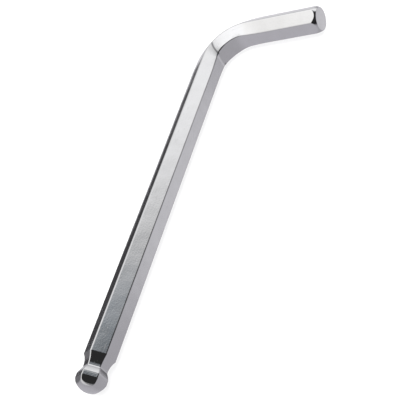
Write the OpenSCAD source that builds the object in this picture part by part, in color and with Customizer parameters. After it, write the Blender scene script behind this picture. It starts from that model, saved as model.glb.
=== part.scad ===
// Hex key with a ball end, bent from one length of hexagonal steel bar.
// It lies on its side: the short arm runs along +X and the long arm along -Y.
// The bar has a corner upwards, so one flat faces the inside of the bend and
// one faces the outside. X and Y are zero in the middle of the outline, and Z
// is zero on the surface that the key lies on.

/* [Hexagonal bar] */
// Width across the flats
across_flats = 10; // [3:0.5:17]
// How much is rounded off each sharp corner of the bar
corner_round = 0.12; // [0.05:0.01:0.3]

/* [Arms] */
// Length of the long arm, from the back of the short arm to the tip of the ball
long_arm = 170; // [90:1:300]
// Length of the short arm, from the back of the long arm to its end face
short_arm = 52; // [40:1:100]
// Radius of the bend, along the middle of the bar
bend_radius = 15; // [10:0.5:25]

/* [Turned chamfer of the short arm] */
// Depth of the chamfer below the corners, measured across the bar
chamfer_depth = 1; // [0.4:0.1:1.4]
// Length of the chamfer along a corner
chamfer_length = 1.8; // [0.5:0.1:3]

/* [Ball end of the long arm] */
// Depth of the ball's facets below the flats of the bar, at the ball's widest place
ball_clearance = 0.15; // [0.05:0.05:0.5]
// How far the centres of the facets' curves lie beyond the middle of the bar
ball_flattening = 0.65; // [0.2:0.05:1]
// Length cut off the ball by the tip
tip_cut = 0.8; // [0.4:0.1:1.2]
// How much larger the radius of the domed tip is than that of the bar's corners
dome_extra = 0.85; // [0.3:0.05:6]

/* [Neck behind the ball] */
// Depth of the neck below the flats of the bar
neck_depth = 1.15; // [0.8:0.05:1.3]
// Radius of the neck's curve on the side of the ball
neck_ball_curve = 2.3; // [1:0.1:5]
// Radius of the neck's curve on the side of the bar
neck_bar_curve = 8.4; // [3:0.1:12]

/* [Hidden] */
$fn = 96;

steel = "#c4c6c8";
half_flat = across_flats / 2;
half_sharp_corner = half_flat / cos(30);
half_corner = half_sharp_corner - corner_round;

// Lengths from where the middle lines of the two arms would cross
long_reach = long_arm - half_flat;
short_reach = short_arm - half_flat;
straight_long = long_reach - bend_radius;
straight_short = short_reach - bend_radius;

// How far the crossing of the middle lines lies from the middle of the outline
middle_x = (half_flat - short_reach) / 2;
middle_y = (long_reach - half_flat) / 2;

// How deep the neck's first arc bites into the ball's arc, so that they cross
bite = 0.01;

// Heights are distances from the middle line of the long arm, and places are
// distances from the tip. The two first arcs' centres are arc_reach apart.
ball_height = half_flat - ball_clearance;
ball_curve = ball_height + ball_flattening;
ball_place = ball_curve - tip_cut;
dome = half_corner + dome_extra;
neck_height = half_flat - neck_depth;
arc_reach = ball_curve + neck_ball_curve - bite;
arc_rise = neck_height + neck_ball_curve + ball_flattening;
neck_run = sqrt(pow(arc_reach, 2) - pow(arc_rise, 2));
neck_bottom = ball_place + neck_run;
cross_place = ball_place + neck_run * ball_curve / (ball_curve + neck_ball_curve);

// How far the milling reaches past the tip and above the flats
overcut = tip_cut / 2;

// The bar's section: a hexagon with a corner upwards and narrowly rounded corners
module bar_section() {
    intersection() {
        rotate(30) circle(r = half_sharp_corner, $fn = 6);
        circle(r = half_corner);
    }
}

// A groove with a round bottom, its circle's centre at the origin, open towards +Y
module round_groove(radius) {
    circle(r = radius);
    translate([-radius, 0]) square([2 * radius, across_flats]);
}

// What is milled off one facet, with x up the arm from the tip, and y the distance
// from the arm's middle line. It reaches a little past the tip and above the flats.
module milled_off() {
    // Above the ball
    difference() {
        translate([-overcut, 0]) square([overcut + cross_place, half_flat + overcut]);
        translate([ball_place, -ball_flattening]) circle(r = ball_curve);
    }
    // Above the neck, on the side of the ball
    intersection() {
        translate([neck_bottom, neck_height + neck_ball_curve]) round_groove(neck_ball_curve);
        translate([ball_place, 0]) square([neck_run, half_flat + overcut]);
    }
    // Above the neck, on the side of the bar, as far as the sharp shoulder where
    // the arc comes out of the flat
    intersection() {
        translate([neck_bottom, neck_height + neck_bar_curve]) round_groove(neck_bar_curve);
        translate([neck_bottom, 0]) square([neck_bar_curve, half_flat + overcut]);
    }
}

// The round shape that the long arm is turned to: a domed tip, and the rounded
// corners of the bar, with the tip at the origin. It reaches past the straight part.
module turned_long_arm() {
    rotate_extrude() {
        intersection() {
            square([half_corner, dome]);
            translate([0, dome]) circle(r = dome);
        }
        translate([0, dome]) square([half_corner, straight_long]);
    }
}

// The straight part of the long arm: the bar with its domed tip, less what is
// milled off its six facets to leave the ball and the neck
module long_arm_straight() {
    translate([0, -long_reach, 0]) rotate([-90, 0, 0]) difference() {
        intersection() {
            linear_extrude(height = straight_long) rotate(30) circle(r = half_sharp_corner, $fn = 6);
            turned_long_arm();
        }
        for (turn = [30 : 60 : 330])
            rotate([0, -90, turn]) linear_extrude(height = 2 * across_flats, center = true) milled_off();
    }
}

// The quarter turn between the arms
module bend() {
    translate([bend_radius, -bend_radius, 0]) rotate([0, 0, 90])
        rotate_extrude(angle = 90) translate([bend_radius, 0]) bar_section();
}

// The straight part of the short arm, with its turned chamfer
module short_arm_straight() {
    translate([bend_radius, 0, 0]) rotate([0, 90, 0]) intersection() {
        linear_extrude(height = straight_short) rotate(90) bar_section();
        rotate_extrude() polygon([
            [0, 0],
            [half_corner, 0],
            [half_corner, straight_short - chamfer_length],
            [half_corner - chamfer_depth, straight_short],
            [0, straight_short]
        ]);
    }
}

// The whole key, one piece of steel
module hex_key() {
    color(steel) translate([middle_x, middle_y, half_corner]) {
        long_arm_straight();
        bend();
        short_arm_straight();
    }
}

hex_key();
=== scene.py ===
"""Hex key with a ball end: its looks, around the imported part. Sizes are in mm, and MM makes them metres."""
import math

import bpy
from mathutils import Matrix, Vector


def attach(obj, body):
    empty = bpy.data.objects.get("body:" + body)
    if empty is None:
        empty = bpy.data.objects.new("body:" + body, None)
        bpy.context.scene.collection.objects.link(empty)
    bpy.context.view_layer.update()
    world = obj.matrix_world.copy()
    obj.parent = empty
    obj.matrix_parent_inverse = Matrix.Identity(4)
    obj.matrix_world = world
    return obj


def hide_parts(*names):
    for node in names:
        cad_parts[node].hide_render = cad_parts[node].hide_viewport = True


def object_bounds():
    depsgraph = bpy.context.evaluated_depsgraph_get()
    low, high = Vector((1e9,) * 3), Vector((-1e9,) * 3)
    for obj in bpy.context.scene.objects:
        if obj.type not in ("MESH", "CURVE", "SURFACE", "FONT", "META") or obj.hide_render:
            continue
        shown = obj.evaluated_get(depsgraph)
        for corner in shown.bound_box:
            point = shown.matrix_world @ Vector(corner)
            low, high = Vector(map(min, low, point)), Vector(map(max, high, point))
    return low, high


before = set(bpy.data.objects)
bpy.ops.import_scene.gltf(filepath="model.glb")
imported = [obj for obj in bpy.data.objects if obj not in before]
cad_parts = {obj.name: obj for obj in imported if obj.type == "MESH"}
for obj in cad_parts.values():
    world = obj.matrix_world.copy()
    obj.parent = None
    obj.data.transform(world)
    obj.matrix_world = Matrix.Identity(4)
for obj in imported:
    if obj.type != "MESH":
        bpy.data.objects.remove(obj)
cad_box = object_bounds()

MM = 0.001
SIN_30 = 0.5
COS_30 = math.cos(math.radians(30))

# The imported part's box: the two arms over all, and the height of the bar, which lies with a corner up
SHORT_ARM, LONG_ARM, HEIGHT = [round((high - low) / MM, 3) for low, high in zip(*cad_box)]

# Sizes of the bar, as in the solid
CORNER_ROUND = 0.12
HALF_CORNER = HEIGHT / 2
HALF_SHARP_CORNER = HALF_CORNER + CORNER_ROUND
HALF_FLAT = HALF_SHARP_CORNER * COS_30
BEND_RADIUS = 15.0
CHAMFER_DEPTH = 1.0
CHAMFER_LENGTH = 1.8

# Sizes of the ball and the neck, as in the solid
BALL_HEIGHT = HALF_FLAT - 0.15
BALL_FLATTENING = 0.65
BALL_CURVE = BALL_HEIGHT + BALL_FLATTENING
BALL_PLACE = BALL_CURVE - 0.8
DOME = HALF_CORNER + 0.85
NECK_HEIGHT = HALF_FLAT - 1.15
NECK_BALL_CURVE = 2.3
NECK_BAR_CURVE = 8.4
NECK_RISE = NECK_HEIGHT + NECK_BALL_CURVE + BALL_FLATTENING
NECK_RUN = math.sqrt((BALL_CURVE + NECK_BALL_CURVE) ** 2 - NECK_RISE ** 2)
NECK_BOTTOM = BALL_PLACE + NECK_RUN
TOUCH_PLACE = BALL_PLACE + NECK_RUN * BALL_CURVE / (BALL_CURVE + NECK_BALL_CURVE)
SHOULDER = NECK_BOTTOM + math.sqrt(
    NECK_BAR_CURVE ** 2 - (NECK_BAR_CURVE - HALF_FLAT + NECK_HEIGHT) ** 2)

# Where the middle lines of the two arms cross
CROSS_X = (HALF_FLAT - (SHORT_ARM - HALF_FLAT)) / 2
CROSS_Y = ((LONG_ARM - HALF_FLAT) - HALF_FLAT) / 2

# Ways along the bar, from the tip of the ball
LONG_STRAIGHT = LONG_ARM - HALF_FLAT - BEND_RADIUS
BEND_LENGTH = BEND_RADIUS * math.pi / 2
BEND_END = LONG_STRAIGHT + BEND_LENGTH
BAR_LENGTH = BEND_END + SHORT_ARM - HALF_FLAT - BEND_RADIUS

# The milled facets are almost flat within this reach of the ball's widest place and of the neck's bottom
BALL_LAND = 1.7
NECK_LAND = 1.0

# What bending does to the section, from BEND_REACH before the bend to as far past it: the inner flat is
# pressed wide, and the outer one is drawn in and narrower. In the bend itself the inner flat also stands
# a little proud
BEND_REACH = 8.0
INNER_SPREAD = 0.94
INNER_BULGE = 0.3
OUTER_SINK = 0.9
OUTER_NARROWING = 0.3

# The small slanted step that the bending die leaves across the facets beside the inner flat. It rises
# over STEP_LENGTH and fades out over STEP_FADE. Its line is slanted and slightly bowed
STEP_PLACE = 157.1
STEP_SLANT = 0.86
STEP_BOW = -0.12
STEP_BOW_END = 4.6
STEP_HEIGHT = 0.03
STEP_LENGTH = 0.38
STEP_FADE = 9.0
# How high above the bar's middle it starts, and how softly, there and at the corner on top
STEP_LOW_END = 3.1
STEP_LOW_FADE = 0.5
STEP_TOP_FADE = 0.6
# Half the width of the painted shade line along it, and how high that starts, and how softly
PAINTED_SHADE_HALF_WIDTH = 0.52
PAINTED_SHADE_LOW_END = 2.6
PAINTED_SHADE_LOW_FADE = 0.4

# How far the long arm's facets beside the outer flat fall off towards it: from CROWN_FROM below the
# corner on top, by CROWN times the square of what lies below. Over the outer flat it ends softly, within
# CROWN_FLAT_FADE of the middle
CROWN_FROM = 2.6
CROWN = 0.014
CROWN_FLAT_FADE = 2.5
# Where along the bar that starts and ends, and over which lengths
CROWN_START = 30.0
CROWN_START_FADE = 60.0
CROWN_END = LONG_STRAIGHT + 8.0
CROWN_END_FADE = 10.0

# Radii of the long edges: of the drawn bar, where the round takes CORNER_ROUND off a sharp corner, of
# the ball and the neck, and of the two edges beside the inner flat, before and in the bend
EDGE_ROUND = CORNER_ROUND / (1 / COS_30 - 1)
BALL_EDGE_ROUND = 0.5
INNER_EDGE_ROUND = 0.5
PRESSED_EDGE_ROUND = 0.28
# Where along the bar the die has pressed those two edges sharper, and over which lengths
PRESSED_START = STEP_PLACE - 1.0
PRESSED_START_FADE = 5.0
PRESSED_END = BEND_END + 5.0
PRESSED_END_FADE = 8.0

# Softness of the creases where the facets meet the dome and the chamfer. The tip's are softer, and turn
# into the others over TIP_CREASE_FADE, up to TIP_CREASE_END
CREASE = 0.12
TIP_CREASE = 0.55
TIP_CREASE_END = 3.5
TIP_CREASE_FADE = 2.5
# The round between the chamfer and the end face
FACE_RIM = 0.16

# How finely the section is drawn: steps on each corner's round and on each flat, and the share of a
# flat between its end and its first point
ARC_STEPS = 8
FLAT_STEPS = 16
FLAT_SUPPORT = 0.04

# The rings of the dome are spread by angle up to TIP_REACH, and those of the ball and neck by length
TIP_REACH = 3.0
TIP_RINGS = 44
BALL_RING = 0.12
SHOULDER_RINGS = (-0.03, 0.03, 0.15, 0.5)
# The rings of the straight bar, of the bend's first part, and around the die's step
BAR_FROM = 20.0
BAR_TO = 140.0
BAR_RINGS = 13
BEND_START_RINGS = 26
BEFORE_STEP = 5.5
AFTER_STEP = 1.0
STEP_RING = 0.09
# The rings of the rest of the bend, and of the short arm
BEND_RING = 0.4
BEND_RINGS = 62
SHORT_RING = 5.0
SHORT_RINGS = 4
# The rings of the chamfer, from CONE_LEAD before it to RIM_START times FACE_RIM before the end face.
# The rim's round has its middle RIM_INSET times FACE_RIM inside the edge of the chamfer and the face
CONE_LEAD = 0.5
CONE_RINGS = 31
RIM_START = 0.75
RIM_INSET = 0.6
RIM_RINGS = 7
FACE_RINGS = (0.99, 0.9, 0.75, 0.55, 0.35, 0.15)

# Sizes of the patterns in the chrome, and the depths of their reliefs. The draw lines, cutter marks and
# scratches are drawn coarser than real ones, to show
WAVE_LENGTH = 7.14
WAVE_DEPTH = 0.05
DRAW_LINE_LENGTH = 6.667
DRAW_LINE_WIDTH = 0.2
DRAW_LINE_DEPTH = 0.006
PEBBLE_SIZE = 0.625
PEBBLE_DEPTH = 0.012
CUTTER_MARK_WIDTH = 0.4167
CUTTER_MARK_DEPTH = 0.03
CUTTER_MARK_FADE = 0.1
SCRATCH_LENGTH = 4.1667
SCRATCH_WIDTH = 0.2273
SCRATCH_DEPTH = 0.006
SCRATCH_PATCH = 9.09
SMUDGE_SIZE = 4.0
WORN_STRETCH = 2.0

# Half the width of the table top, and its fine grain
TABLE_HALF = 3000.0
BOARD_GRAIN = 1.1111
BOARD_GRAIN_DEPTH = 0.005

# The room that the chrome mirrors: colour and brightness of its lower and its upper part, and the heights
# of a direction, where straight up is 1, between which the one turns into the other
ROOM_BELOW = ("#fbf9ff", 0.61)
ROOM_ABOVE = ("#ffffff", 1.10)
HORIZON = (0.10, 0.50)
# Soft lamps: name, colour, direction, half angle and softness in degrees, and added brightness
LAMPS = [
    ("ceiling_lamp", "#ffffff", (-0.20, 0.08, 0.97), 17, 12, 0.60),
    ("front_ceiling_lamp", "#ffe070", (-0.60, -0.25, 0.76), 16, 12, 0.06),
    ("back_lamp", "#ffffff", (0.30, 0.65, 0.70), 15, 9, 0.34),
    ("window_lamp", "#74c4f0", (0.30, 0.36, 0.89), 4, 4, 0.30),
    ("low_back_lamp", "#ffffff", (0.563, 0.537, -0.628), 5.0, 4.4, 0.26),
    ("low_right_lamp", "#ffffff", (0.40, 0.70, -0.585), 3, 3, 0.31),
    ("low_left_lamp", "#ffffff", (-0.60, 0.70, -0.40), 14, 9, 0.30),
    ("low_front_lamp", "#f6f2ff", (-0.45, -0.66, -0.60), 30, 25, 0.12),
]
# Dark flags: name, direction, half angle and softness in degrees, and how much they take away
FLAGS = [
    ("view_flag", (0.745, -0.298, 0.596), 55.3, 9.5, 0.965),
    ("left_flag", (-0.868, 0.49, -0.005), 16.2, 2.5, 0.89),
    ("far_left_flag", (-0.99, 0.10, -0.05), 14, 8, 0.60),
    ("low_back_flag", (-0.05, 0.75, -0.66), 14, 10, 0.65),
]
# What the camera sees beyond the table
BACKDROP = "#fdfdfd"
# The share of the room's light that the matt table takes, and the lamp over it, with its power in watts
TABLE_ROOM_LIGHT = 0.12
TABLE_LAMP_POWER = 208
TABLE_LAMP_WIDTH = 6000.0
TABLE_LAMP_HEIGHT = 2500.0

# The camera, from a fit of the key's edges in the photograph: its lens and sensor, the nearest that it
# shows, its place, and its turns in degrees
LENS = 88.9
SENSOR_WIDTH = 36.0
NEAREST_SEEN = 10.0
CAMERA_PLACE = (191.92, -199.27, 237.01)
CAMERA_TURNS = (42.857, 28.1401, 18.3382)


def clamp(x, low=0.0, high=1.0):
    """x, kept between low and high."""
    return min(max(x, low), high)


def smooth(x):
    """0 to 1 with soft ends."""
    x = clamp(x)
    return x * x * (3 - 2 * x)


def fade_in(x, start, length):
    """0 up to start, and then softly up to 1 over length."""
    return smooth((x - start) / length)


def fade_out(x, end, length):
    """1, and then softly down over length to 0 at end."""
    return smooth((end - x) / length)


def hump(share):
    """0 at 0 and at 1, and 1 halfway, with soft ends."""
    return math.sin(math.pi * clamp(share)) ** 2


def soft_min(a, b, width):
    """The smaller of a and b, with the corner between them rounded over width."""
    h = clamp(0.5 + 0.5 * (b - a) / width)
    return b + (a - b) * h - width * h * (1 - h)


def eased(x, land):
    """x, but with an almost flat land on both sides of 0."""
    return x * smooth(abs(x) / land)


def spread(start, end, count):
    """count places from start to end, both included."""
    return [start + (end - start) * k / (count - 1) for k in range(count)]


def place(along):
    """The middle of the bar and the direction to the inside of the bend, at a way along from the tip."""
    if along <= LONG_STRAIGHT:
        return Vector((CROSS_X, CROSS_Y - LONG_ARM + HALF_FLAT + along)), Vector((1, 0))
    turn = min((along - LONG_STRAIGHT) / BEND_RADIUS, math.pi / 2)
    inside = Vector((math.cos(turn), -math.sin(turn)))
    centre = Vector((CROSS_X + BEND_RADIUS, CROSS_Y - BEND_RADIUS))
    past = max(along - BEND_END, 0.0)
    return centre - inside * BEND_RADIUS + Vector((past, 0)), inside


def facet_height(along):
    """How far a facet lies from the middle of the bar."""
    if along < TOUCH_PLACE:
        return math.sqrt(BALL_CURVE ** 2 - eased(along - BALL_PLACE, BALL_LAND) ** 2) - BALL_FLATTENING
    if along >= SHOULDER:
        return HALF_FLAT
    radius = NECK_BALL_CURVE if along < NECK_BOTTOM else NECK_BAR_CURVE
    return NECK_HEIGHT + radius - math.sqrt(radius ** 2 - eased(along - NECK_BOTTOM, NECK_LAND) ** 2)


def section_corners(along):
    """The six sharp corners of the section, as (towards the inside of the bend, up)."""
    flat = facet_height(along)
    side = flat / COS_30
    bent = hump((along - LONG_STRAIGHT + BEND_REACH) / (BEND_LENGTH + 2 * BEND_REACH))
    bulge = INNER_BULGE * hump((along - LONG_STRAIGHT) / BEND_LENGTH)
    inner = (flat + bulge, side / 2 + INNER_SPREAD * bent)
    outer = (flat - OUTER_SINK * bent, side / 2 - OUTER_NARROWING * bent)
    return [
        Vector((0, -side)), Vector((inner[0], -inner[1])), Vector(inner),
        Vector((0, side)), Vector((-outer[0], outer[1])), Vector((-outer[0], -outer[1])),
    ]


def edge_rounds(along):
    """The radius of each of the six corners. Bending presses the two inner ones sharper."""
    near_ball = fade_out(along, SHOULDER, SHOULDER - NECK_BOTTOM)
    outer = EDGE_ROUND + (BALL_EDGE_ROUND - EDGE_ROUND) * near_ball
    pressed = fade_in(along, PRESSED_START, PRESSED_START_FADE)
    pressed *= fade_out(along, PRESSED_END, PRESSED_END_FADE)
    inner = INNER_EDGE_ROUND + (PRESSED_EDGE_ROUND - INNER_EDGE_ROUND) * pressed
    return [outer, inner, inner, outer, outer, outer]


def rounded_section(corners, radii):
    """The section's outline with rounded corners, as (point, 1 on a corner's round or 0 on a flat)."""
    arcs = []
    for k, (corner, radius) in enumerate(zip(corners, radii)):
        before = (corner - corners[k - 1]).normalized()
        after = (corners[(k + 1) % 6] - corner).normalized()
        turn = before.angle(after)
        inward = Vector((-before.y, before.x))
        middle = corner - before * radius * math.tan(turn / 2) + inward * radius
        start = math.atan2(-inward.y, -inward.x)
        arcs.append([
            middle + radius * Vector((math.cos(a), math.sin(a)))
            for a in (start + turn * j / ARC_STEPS for j in range(ARC_STEPS + 1))
        ])
    outline = []
    for k, arc in enumerate(arcs):
        outline += [(p, 1.0) for p in arc]
        start, end = arc[-1], arcs[(k + 1) % 6][0]
        for share in spread(FLAT_SUPPORT, 1 - FLAT_SUPPORT, FLAT_STEPS):
            outline.append((start.lerp(end, share), 0.0))
    return outline


def facet_out(p, towards):
    """The way out of the facet at p, which is beside the inner flat (towards 1) or the outer one (-1)."""
    return Vector((SIN_30 * towards, math.copysign(COS_30, p.y)))


def die_step(along, p):
    """How far the die's step stands proud on the facets beside the inner flat, and 1 on the painted shade
    line along it.
    """
    start = STEP_PLACE - STEP_SLANT * p.x + STEP_BOW * math.sin(math.pi * clamp(p.x / STEP_BOW_END))
    below_top = fade_in(p.x, 0.0, STEP_TOP_FADE)
    rise = fade_in(along, start - STEP_LENGTH / 2, STEP_LENGTH)
    fall = fade_out(along, start + STEP_FADE, STEP_FADE)
    proud = STEP_HEIGHT * rise * fall * below_top * fade_in(abs(p.y), STEP_LOW_END, STEP_LOW_FADE)
    # The painted shade line: a dark stripe put into the colour along the step, where its shading falls
    line = math.exp(-((along - start) / PAINTED_SHADE_HALF_WIDTH) ** 2)
    return proud, line * below_top * fade_in(abs(p.y), PAINTED_SHADE_LOW_END, PAINTED_SHADE_LOW_FADE)


def crowned(along, p):
    """p, pressed in a little where the long arm's facets fall off towards the outer flat."""
    share = fade_in(along, CROWN_START, CROWN_START_FADE) * fade_out(along, CROWN_END, CROWN_END_FADE)
    from_top = (HALF_SHARP_CORNER - abs(p.y)) * SIN_30 - p.x * COS_30
    over = clamp(from_top - CROWN_FROM, 0.0, HALF_SHARP_CORNER - CROWN_FROM)
    depth = CROWN * over ** 2 * share * fade_in(abs(p.y), 0.0, CROWN_FLAT_FADE)
    return p - facet_out(p, -1) * depth


def ring(along, limit):
    """One ring of the mesh: the rounded section, cut to the turned radius limit where there is one. Each
    point is (position, (along, towards the inside, up), 1 on a rounded edge, 1 on the painted shade
    line along the die's step)."""
    crease = CREASE + (TIP_CREASE - CREASE) * fade_out(along, TIP_CREASE_END, TIP_CREASE_FADE)
    middle, inside = place(along)
    points = []
    for p, edge in rounded_section(section_corners(along), edge_rounds(along)):
        painted_shade = 0.0
        if limit is not None:
            edge *= smooth((limit - p.length) / crease)
            p = p * (soft_min(p.length, limit, min(crease, limit)) / p.length)
        else:
            proud, painted_shade = die_step(along, p)
            p = crowned(along, p + facet_out(p, 1) * proud)
        up = clamp(HALF_CORNER + p.y, 0.0, 2 * HALF_CORNER)
        position = (middle.x + inside.x * p.x, middle.y + inside.y * p.x, up)
        points.append((position, (along, p.x, p.y), edge, painted_shade))
    return points


def tip_stations():
    """The rings of the dome, the ball and the neck, as (way along the bar, turned radius or None)."""
    reach = math.acos(1 - TIP_REACH / DOME)
    found = [
        (DOME * (1 - math.cos(a)), DOME * math.sin(a))
        for a in spread(reach / TIP_RINGS, reach, TIP_RINGS)
    ]
    ball_rings = round((SHOULDER - TIP_REACH) / BALL_RING)
    for along in spread(TIP_REACH + BALL_RING, SHOULDER - BALL_RING, ball_rings):
        turned = math.sqrt(DOME ** 2 - (DOME - along) ** 2) if along < DOME else None
        found.append((along, turned))
    return found + [(SHOULDER + beyond, None) for beyond in SHOULDER_RINGS]


def bar_stations():
    """The rings of the straight arms and the bend, denser where the bending die left its step."""
    step_from, step_to = STEP_PLACE - BEFORE_STEP, STEP_PLACE + AFTER_STEP
    bend_to = BEND_END + BEND_REACH
    cone_from = BAR_LENGTH - CHAMFER_LENGTH - CONE_LEAD
    places = spread(BAR_FROM, BAR_TO, BAR_RINGS)
    places += spread(LONG_STRAIGHT - BEND_REACH, step_from, BEND_START_RINGS)
    places += spread(step_from + STEP_RING, step_to, round((step_to - step_from) / STEP_RING))
    places += spread(step_to + BEND_RING, bend_to, BEND_RINGS)
    places += spread(bend_to + SHORT_RING, cone_from - SHORT_RING, SHORT_RINGS)
    return [(along, None) for along in places]


def chamfer_stations():
    """The rings of the turned chamfer, its rounded rim and the flat face at the end of the short arm."""
    slope = CHAMFER_DEPTH / CHAMFER_LENGTH
    face_radius = HALF_CORNER - CHAMFER_DEPTH
    found = [
        (BAR_LENGTH - left, face_radius + left * slope)
        for left in spread(CHAMFER_LENGTH + CONE_LEAD, RIM_START * FACE_RIM, CONE_RINGS)
    ]
    rim_middle = face_radius - RIM_INSET * FACE_RIM
    for a in spread(math.atan(slope), math.pi / 2, RIM_RINGS):
        found.append((BAR_LENGTH - FACE_RIM * (1 - math.sin(a)), rim_middle + FACE_RIM * math.cos(a)))
    return found + [(BAR_LENGTH, rim_middle * share) for share in FACE_RINGS]


def build_key():
    """The whole key as one mesh swept along the bar, which replaces the solid."""
    rings = [ring(*station) for station in tip_stations() + bar_stations() + chamfer_stations()]
    count = len(rings[0])
    vertices = [vertex for around in rings for vertex in around]
    tip, end = len(vertices), len(vertices) + 1
    for along in (0.0, BAR_LENGTH):
        middle, _ = place(along)
        vertices.append(((middle.x, middle.y, HALF_CORNER), (along, 0.0, 0.0), 0.0, 0.0))
    faces = []
    for r in range(len(rings) - 1):
        a, b = r * count, (r + 1) * count
        faces += [(a + k, b + k, b + (k + 1) % count, a + (k + 1) % count) for k in range(count)]
    last = (len(rings) - 1) * count
    faces += [(tip, k, (k + 1) % count) for k in range(count)]
    faces += [(end, last + (k + 1) % count, last + k) for k in range(count)]

    mesh = bpy.data.meshes.new("key_bar")
    mesh.from_pydata([Vector(vertex[0]) * MM for vertex in vertices], [], faces)
    mesh.polygons.foreach_set("use_smooth", [True] * len(mesh.polygons))
    bar_place = mesh.attributes.new("bar_place", "FLOAT_VECTOR", "POINT")
    bar_place.data.foreach_set("vector", [x for vertex in vertices for x in vertex[1]])
    # bar_edge holds the worn edges, and the second attribute the painted shade line along the die's step
    for name, part in (("bar_edge", 2), ("painted_step_shade", 3)):
        attribute = mesh.attributes.new(name, "FLOAT", "POINT")
        attribute.data.foreach_set("value", [vertex[part] for vertex in vertices])
    mesh.update()
    key = bpy.data.objects.new("key_bar", mesh)
    bpy.context.scene.collection.objects.link(key)
    key.data.materials.append(chrome_plate())
    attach(key, "root")
    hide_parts("hex_key")


def colour(text):
    """An sRGB hex colour such as #c4c6c8 as linear red, green, blue and 1."""
    parts = [int(text[i:i + 2], 16) / 255 for i in (1, 3, 5)]
    return tuple(c / 12.92 if c <= 0.04045 else ((c + 0.055) / 1.055) ** 2.4 for c in parts) + (1.0,)


def add(tree, kind, settings=None, links=None):
    """A node of that kind, with its settings, and its inputs set to values or linked to sockets."""
    node = tree.nodes.new(kind)
    for name, value in (settings or {}).items():
        setattr(node, name, value)
    for name, value in (links or {}).items():
        if isinstance(value, bpy.types.NodeSocket):
            tree.links.new(value, node.inputs[name])
        else:
            node.inputs[name].default_value = value
    return node


def drawn_reliefs(tree, bar):
    """The bar's surface, as (height, depth): slow waves, draw lines, and the fine pebble of the plating."""
    waves = add(tree, "ShaderNodeTexNoise", None,
                {"Vector": bar, "Scale": 1 / WAVE_LENGTH, "Detail": 1.0, "Roughness": 0.4})
    drawn_out = add(tree, "ShaderNodeVectorMath", {"operation": "MULTIPLY"},
                    {0: bar, 1: (1 / DRAW_LINE_LENGTH, 1 / DRAW_LINE_WIDTH, 1 / DRAW_LINE_WIDTH)})
    lines = add(tree, "ShaderNodeTexNoise", None,
                {"Vector": drawn_out.outputs["Vector"], "Scale": 1.0, "Detail": 4.0, "Roughness": 0.6})
    pebble = add(tree, "ShaderNodeTexNoise", None,
                 {"Vector": bar, "Scale": 1 / PEBBLE_SIZE, "Detail": 3.0, "Roughness": 0.55})
    return [
        (waves.outputs["Fac"], WAVE_DEPTH),
        (lines.outputs["Fac"], DRAW_LINE_DEPTH),
        (pebble.outputs["Fac"], PEBBLE_DEPTH),
    ]


def cutter_marks(tree, bar):
    """The height of the fine marks across the ball and the neck, from the tool that cut them."""
    along = add(tree, "ShaderNodeSeparateXYZ", None, {0: bar}).outputs["X"]
    marks = add(tree, "ShaderNodeTexNoise", {"noise_dimensions": "1D"},
                {"W": along, "Scale": 1 / CUTTER_MARK_WIDTH, "Detail": 2.0, "Roughness": 0.6})
    cut = add(tree, "ShaderNodeMapRange", {"interpolation_type": "SMOOTHSTEP"},
              {"Value": along, "From Min": SHOULDER - CUTTER_MARK_FADE,
               "From Max": SHOULDER + CUTTER_MARK_FADE, "To Min": 1.0, "To Max": 0.0})
    return add(tree, "ShaderNodeMath", {"operation": "MULTIPLY"},
               {0: marks.outputs["Fac"], 1: cut.outputs["Result"]}).outputs[0]


def scratches(tree, bar):
    """1 on thin handling scratches, slanted across the bar, in scattered patches."""
    slanted = add(tree, "ShaderNodeMapping", {"vector_type": "POINT"},
                  {"Vector": bar, "Rotation": (0.3, 0.2, 0.5),
                   "Scale": (1 / SCRATCH_LENGTH, 1 / SCRATCH_WIDTH, 1 / SCRATCH_WIDTH)})
    fibres = add(tree, "ShaderNodeTexNoise", None,
                 {"Vector": slanted.outputs["Vector"], "Scale": 1.0, "Detail": 2.0, "Roughness": 0.5})
    thin = add(tree, "ShaderNodeMapRange", None,
               {"Value": fibres.outputs["Fac"], "From Min": 0.66, "From Max": 0.72})
    patches = add(tree, "ShaderNodeTexNoise", None,
                  {"Vector": bar, "Scale": 1 / SCRATCH_PATCH, "Detail": 2.0})
    here = add(tree, "ShaderNodeMapRange", None,
               {"Value": patches.outputs["Fac"], "From Min": 0.48, "From Max": 0.6})
    return add(tree, "ShaderNodeMath", {"operation": "MULTIPLY"},
               {0: thin.outputs["Result"], 1: here.outputs["Result"]}).outputs[0]


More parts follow.
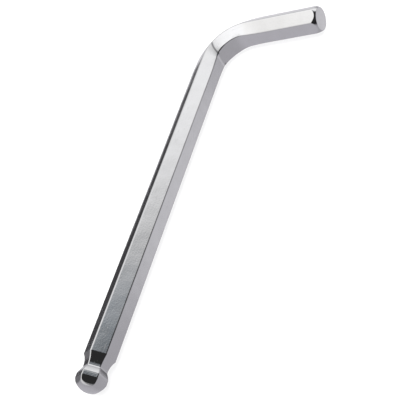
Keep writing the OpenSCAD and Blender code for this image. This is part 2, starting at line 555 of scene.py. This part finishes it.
def chrome_plate():
    """Bright chrome plate over drawn steel bar: a neutral mirror, a little soft, with smudges from
    handling, fine scratches, edges rubbed a little duller, and a painted dark shade line along the
    bending die's step."""
    material = bpy.data.materials.new("chrome_plate")
    material.use_nodes = True
    tree = material.node_tree
    tree.nodes.clear()
    bar = add(tree, "ShaderNodeAttribute", {"attribute_name": "bar_place"}).outputs["Vector"]
    edge = add(tree, "ShaderNodeAttribute", {"attribute_name": "bar_edge"}).outputs["Fac"]
    # The painted shade line along the die's step
    painted_step_shade = add(tree, "ShaderNodeAttribute", {"attribute_name": "painted_step_shade"}).outputs["Fac"]
    scratched = scratches(tree, bar)

    # The reliefs, each on top of the one before. The scratches are cut in, so their depth is below 0
    reliefs = drawn_reliefs(tree, bar)
    reliefs += [(cutter_marks(tree, bar), CUTTER_MARK_DEPTH), (scratched, -SCRATCH_DEPTH)]
    below = {}
    for height, depth in reliefs:
        relief = add(tree, "ShaderNodeBump", None,
                     {"Strength": 1.0, "Distance": depth * MM, "Height": height, **below})
        below = {"Normal": relief.outputs["Normal"]}

    # Cloudy smudges change how sharp the mirror is
    clouds = add(tree, "ShaderNodeTexNoise", None,
                 {"Vector": bar, "Scale": 1 / SMUDGE_SIZE, "Detail": 5.0, "Roughness": 0.6})
    smudged = add(tree, "ShaderNodeMapRange", None,
                  {"Value": clouds.outputs["Fac"], "From Min": 0.35, "From Max": 0.75,
                   "To Min": 0.055, "To Max": 0.12})
    # The edges are worn in stretches
    stretches = add(tree, "ShaderNodeTexNoise", None,
                    {"Vector": bar, "Scale": 1 / WORN_STRETCH, "Detail": 4.0})
    worn = add(tree, "ShaderNodeMapRange", None,
               {"Value": stretches.outputs["Fac"], "From Min": 0.4, "From Max": 0.65})
    wear = add(tree, "ShaderNodeMath", {"operation": "MULTIPLY"},
               {0: worn.outputs["Result"], 1: edge}).outputs[0]
    rougher = add(tree, "ShaderNodeMath", {"operation": "MULTIPLY_ADD"},
                  {0: wear, 1: 0.05, 2: smudged.outputs["Result"]}).outputs[0]
    roughness = add(tree, "ShaderNodeMath", {"operation": "MULTIPLY_ADD"},
                    {0: scratched, 1: 0.15, 2: rougher}).outputs[0]

    # The plate's colour, darker in the smudges, then on the worn edges, and with painted shade on the line
    # along the die's step
    plate = add(tree, "ShaderNodeMix", {"data_type": "RGBA"},
                {0: clouds.outputs["Fac"], 6: colour("#cacacc"), 7: colour("#c2c2c3")}).outputs[2]
    rubbed = add(tree, "ShaderNodeMix", {"data_type": "RGBA"},
                 {0: wear, 6: plate, 7: colour("#c4c4c5")}).outputs[2]
    # Painted shade: the colour turns dark along the die's step
    with_painted_shade = add(tree, "ShaderNodeMix", {"data_type": "RGBA"},
                 {0: painted_step_shade, 6: rubbed, 7: colour("#646466")}).outputs[2]
    shader = add(tree, "ShaderNodeBsdfPrincipled", None,
                 {"Base Color": with_painted_shade, "Metallic": 1.0, "Roughness": roughness, **below})
    add(tree, "ShaderNodeOutputMaterial", None, {"Surface": shader.outputs["BSDF"]})
    return material


def pale_board():
    """Fine matt board: pale and even, with a grain that is only just there."""
    material = bpy.data.materials.new("pale_board")
    material.use_nodes = True
    tree = material.node_tree
    tree.nodes.clear()
    on_table = add(tree, "ShaderNodeTexCoord").outputs["Object"]
    grain = add(tree, "ShaderNodeTexNoise", None,
                {"Vector": on_table, "Scale": 1 / (BOARD_GRAIN * MM), "Detail": 3.0})
    relief = add(tree, "ShaderNodeBump", None,
                 {"Strength": 1.0, "Distance": BOARD_GRAIN_DEPTH * MM, "Height": grain.outputs["Fac"]})
    shader = add(tree, "ShaderNodeBsdfPrincipled", None,
                 {"Base Color": colour("#f5f5f5"), "Roughness": 0.85,
                  "Normal": relief.outputs["Normal"]})
    add(tree, "ShaderNodeOutputMaterial", None, {"Surface": shader.outputs["BSDF"]})
    return material


def pale_floor():
    """A plain pale table top. The chrome doesn't mirror it, but the white room below."""
    half = TABLE_HALF * MM
    corners = [(-half, -half, 0), (half, -half, 0), (half, half, 0), (-half, half, 0)]
    mesh = bpy.data.meshes.new("floor")
    mesh.from_pydata(corners, [], [(0, 1, 2, 3)])
    mesh.materials.append(pale_board())
    floor = bpy.data.objects.new("floor", mesh)
    floor.visible_glossy = False
    bpy.context.scene.collection.objects.link(floor)


def bright(text, strength):
    """A hex colour as a light of that brightness."""
    return tuple(c * strength for c in colour(text)[:3])


def within(tree, direction, name, middle, half_angle, softness):
    """1 within half_angle of the direction middle, and 0 outside, with a soft edge. Angles in degrees."""
    dot = add(tree, "ShaderNodeVectorMath", {"operation": "DOT_PRODUCT", "label": name},
              {0: direction, 1: tuple(Vector(middle).normalized())})
    edge = add(tree, "ShaderNodeMapRange", {"interpolation_type": "SMOOTHSTEP"},
               {"Value": dot.outputs["Value"],
                "From Min": math.cos(math.radians(half_angle + softness)),
                "From Max": math.cos(math.radians(half_angle - softness))})
    return edge.outputs["Result"]


def studio_room(tree):
    """The light of the studio in every direction: a white room, its soft lamps and its dark flags."""
    direction = add(tree, "ShaderNodeTexCoord").outputs["Generated"]
    height = add(tree, "ShaderNodeSeparateXYZ", None, {0: direction}).outputs["Z"]
    above = add(tree, "ShaderNodeMapRange", {"interpolation_type": "SMOOTHSTEP"},
                {"Value": height, "From Min": HORIZON[0], "From Max": HORIZON[1]}).outputs["Result"]
    below_light, above_light = Vector(bright(*ROOM_BELOW)), Vector(bright(*ROOM_ABOVE))
    room = add(tree, "ShaderNodeVectorMath", {"operation": "MULTIPLY_ADD"},
               {0: above, 1: above_light - below_light, 2: below_light}).outputs["Vector"]
    for name, tone, middle, half_angle, softness, strength in LAMPS:
        lamp = within(tree, direction, name, middle, half_angle, softness)
        room = add(tree, "ShaderNodeVectorMath", {"operation": "MULTIPLY_ADD"},
                   {0: lamp, 1: bright(tone, strength), 2: room}).outputs["Vector"]
    for name, middle, half_angle, softness, dimming in FLAGS:
        flag = within(tree, direction, name, middle, half_angle, softness)
        left = add(tree, "ShaderNodeMath", {"operation": "MULTIPLY_ADD"},
                   {0: flag, 1: -dimming, 2: 1.0}).outputs[0]
        room = add(tree, "ShaderNodeVectorMath", {"operation": "SCALE"},
                   {0: room, "Scale": left}).outputs["Vector"]
    return room


def studio():
    """Plain soft studio light. The backdrop beyond the table is white."""
    world = bpy.data.worlds.new("studio")
    world.use_nodes = True
    bpy.context.scene.world = world
    tree = world.node_tree
    tree.nodes.clear()
    path = add(tree, "ShaderNodeLightPath")
    share = add(tree, "ShaderNodeMath", {"operation": "MULTIPLY_ADD"},
                {0: path.outputs["Is Diffuse Ray"], 1: TABLE_ROOM_LIGHT - 1.0, 2: 1.0}).outputs[0]
    lit = add(tree, "ShaderNodeBackground", None, {"Color": studio_room(tree), "Strength": share})
    seen = add(tree, "ShaderNodeBackground", None, {"Color": colour(BACKDROP), "Strength": 1.0})
    mixed = add(tree, "ShaderNodeMixShader", None,
                {0: path.outputs["Is Camera Ray"], 1: lit.outputs[0], 2: seen.outputs[0]})
    add(tree, "ShaderNodeOutputWorld", None, {"Surface": mixed.outputs[0]})


def table_lamp():
    """A wide fill lamp straight above, without shadows. It whitens the table, so that the shadow that the
    key casts in the room's light stays faint."""
    lamp = bpy.data.lights.new("table_lamp", "AREA")
    lamp.shape = "DISK"
    lamp.size = TABLE_LAMP_WIDTH * MM
    lamp.energy = TABLE_LAMP_POWER
    lamp.use_shadow = False
    above = bpy.data.objects.new("table_lamp", lamp)
    above.location = (0, 0, TABLE_LAMP_HEIGHT * MM)
    above.visible_glossy = False
    above.visible_camera = False
    bpy.context.scene.collection.objects.link(above)


def camera():
    """The photograph's point of view."""
    data = bpy.data.cameras.new("camera")
    data.lens = LENS
    data.sensor_width = SENSOR_WIDTH
    data.clip_start = NEAREST_SEEN * MM
    seen_from = bpy.data.objects.new("camera", data)
    seen_from.location = Vector(CAMERA_PLACE) * MM
    seen_from.rotation_euler = [math.radians(a) for a in CAMERA_TURNS]
    bpy.context.scene.collection.objects.link(seen_from)
    bpy.context.scene.camera = seen_from


bpy.context.scene.view_settings.view_transform = "Standard"
camera()
build_key()
pale_floor()
studio()
table_lamp()
